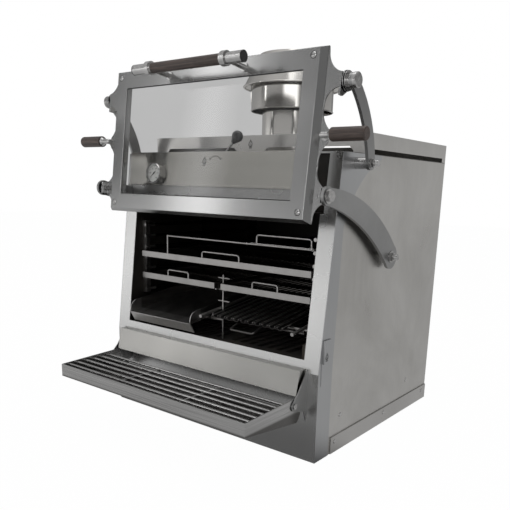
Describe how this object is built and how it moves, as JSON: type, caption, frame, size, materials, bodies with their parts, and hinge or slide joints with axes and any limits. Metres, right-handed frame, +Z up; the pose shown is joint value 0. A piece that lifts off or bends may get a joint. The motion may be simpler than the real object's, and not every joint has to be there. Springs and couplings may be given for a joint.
{
  "type": "charcoal oven",
  "caption": "Free-standing charcoal oven with a lift-up glass door on crescent arms, sliding grids, ash drawer, fold-up front shelf and capped flue.",
  "frame": {"origin": "middle of the casing's base, on the floor", "axes": "+X to the right as seen from the front, +Y to the back, +Z up"},
  "size_m": [1.204, 1.154, 1.343],
  "materials": {
    "brushed": "brushed stainless steel",
    "side_steel": "swirl-brushed stainless steel",
    "bright_steel": "polished stainless steel",
    "sooty_steel": "heat-stained and sooty steel",
    "grid_steel": "heat-stained bar",
    "cast": "rough cast iron",
    "plate_iron": "seasoned plate",
    "firebrick": "sooty firebrick",
    "mineral_wool": "pressed mineral fibre",
    "seal": "woven glass rope",
    "clear": "heat-proof glass",
    "dark_wood": "oiled dark wood",
    "knob_black": "satin phenolic",
    "cap_black": "matte end cap",
    "dial_white": "printed dial with plain numbers",
    "needle_black": "matte",
    "bolt_steel": "turned steel"
  },
  "bodies": {
    "casing": {"floor_panel": "brushed", "front_frame": "brushed", "corner_wrap_left": "side_steel", "corner_wrap_right": "side_steel", "side_panel_left": "side_steel", "side_panel_right": "side_steel", "back_panel": "brushed", "deck_panel": "brushed", "base_skirts": "brushed", "fascia_panel": "brushed", "cavity_liner": "sooty_steel", "insulation_slabs": "mineral_wool", "firebrick_lining": "firebrick", "fire_grate": "cast", "side_racks": "sooty_steel", "centre_ladder": "sooty_steel", "drawer_runners": "brushed", "shelf_cheeks": "brushed", "guard_front": "brushed", "guard_rail": "brushed", "flue_pipe": "brushed", "flue_sleeve": "brushed", "flue_cap": "brushed", "cap_straps": "brushed", "panel_screws": "bright_steel", "arm_hubs": "bolt_steel", "thermometer_case": "bright_steel", "thermometer_dial": "dial_white", "thermometer_glass": "clear"},
    "door": {"door_frame": "brushed", "door_rear_plate": "brushed", "door_inner_frame": "brushed", "door_gasket": "seal", "door_glass": "clear", "door_screws": "bright_steel", "handle_tube": "bright_steel", "handle_grip": "dark_wood", "handle_end_caps": "cap_black", "handle_posts": "bright_steel", "grip_necks": "bright_steel", "side_grips": "dark_wood"},
    "lower_arms": {"lower_arm_left": "brushed", "lower_arm_right": "brushed", "lower_arm_bolts": "bolt_steel"},
    "upper_arms": {"upper_arm_left": "brushed", "upper_arm_right": "brushed", "upper_arm_bolts": "bolt_steel"},
    "damper": {"damper_shaft": "brushed", "damper_knob": "knob_black"},
    "air_shutter": {"air_slide": "brushed"},
    "ash_tray": {"ash_drawer": "brushed"},
    "front_shelf": {"shelf_frame": "brushed", "shelf_rods": "bright_steel"},
    "upper_rack": {"upper_grid": "grid_steel"},
    "warming_rack": {"top_shelf": "grid_steel"},
    "left_rack": {"mid_grid_left": "grid_steel"},
    "right_rack": {"mid_grid_right": "grid_steel"},
    "hot_plate": {"plancha": "plate_iron"},
    "groove_rack": {"grooved_grill": "grid_steel"},
    "needle": {"thermometer_needle": "needle_black"}
  },
  "joints": [
    {"name": "lower_arm_swing", "type": "hinge", "parent": "casing", "child": "lower_arms", "pos_m": [0, -0.04152, 0.63281], "axis": [1, 0, 0], "range_deg": [0, 55.81]},
    {"name": "door_keep_level", "type": "hinge", "parent": "lower_arms", "child": "door", "pos_m": [0, -0.46554, 0.83198], "axis": [1, 0, 0], "range_deg": [-55.82, 0]},
    {"name": "upper_arm_swing", "type": "hinge", "parent": "casing", "child": "upper_arms", "pos_m": [0, -0.27217, 0.92954], "axis": [1, 0, 0], "range_deg": [0, 124.67]},
    {"name": "damper_turn", "type": "hinge", "parent": "casing", "child": "damper", "pos_m": [-0.045, 0, 0.915], "axis": [0, 1, 0], "range_deg": [-90, 0]},
    {"name": "air_shutter_slide", "type": "slide", "parent": "casing", "child": "air_shutter", "axis": [0, 0, 1], "range_m": [-0.05, 0]},
    {"name": "ash_tray_slide", "type": "slide", "parent": "casing", "child": "ash_tray", "axis": [0, 1, 0], "range_m": [-0.4, 0]},
    {"name": "front_shelf_fold", "type": "hinge", "parent": "casing", "child": "front_shelf", "pos_m": [0, -0.4905, 0.2], "axis": [-1, 0, 0], "range_deg": [0, 90]},
    {"name": "upper_rack_slide", "type": "slide", "parent": "casing", "child": "upper_rack", "axis": [0, 1, 0], "range_m": [-0.25, 0]},
    {"name": "warming_rack_slide", "type": "slide", "parent": "casing", "child": "warming_rack", "axis": [0, 1, 0], "range_m": [-0.2, 0]},
    {"name": "left_rack_slide", "type": "slide", "parent": "casing", "child": "left_rack", "axis": [0, 1, 0], "range_m": [-0.25, 0]},
    {"name": "right_rack_slide", "type": "slide", "parent": "casing", "child": "right_rack", "axis": [0, 1, 0], "range_m": [-0.25, 0]},
    {"name": "hot_plate_slide", "type": "slide", "parent": "casing", "child": "hot_plate", "axis": [0, 0.9903, 0.1392], "range_m": [-0.22, 0]},
    {"name": "groove_rack_slide", "type": "slide", "parent": "casing", "child": "groove_rack", "axis": [0, 0.9903, 0.1392], "range_m": [-0.22, 0]},
    {"name": "needle_turn", "type": "hinge", "parent": "casing", "child": "needle", "pos_m": [-0.309, -0.35883, 0.887], "axis": [0, 0.9934, -0.1149], "range_deg": [0, 250]}
  ],
  "couplings": [
    {"joint": "door_keep_level", "follows": "lower_arm_swing", "ratio": -1},
    {"joint": "upper_arm_swing", "follows": "lower_arm_swing", "ratio": 2.2334}
  ]
}
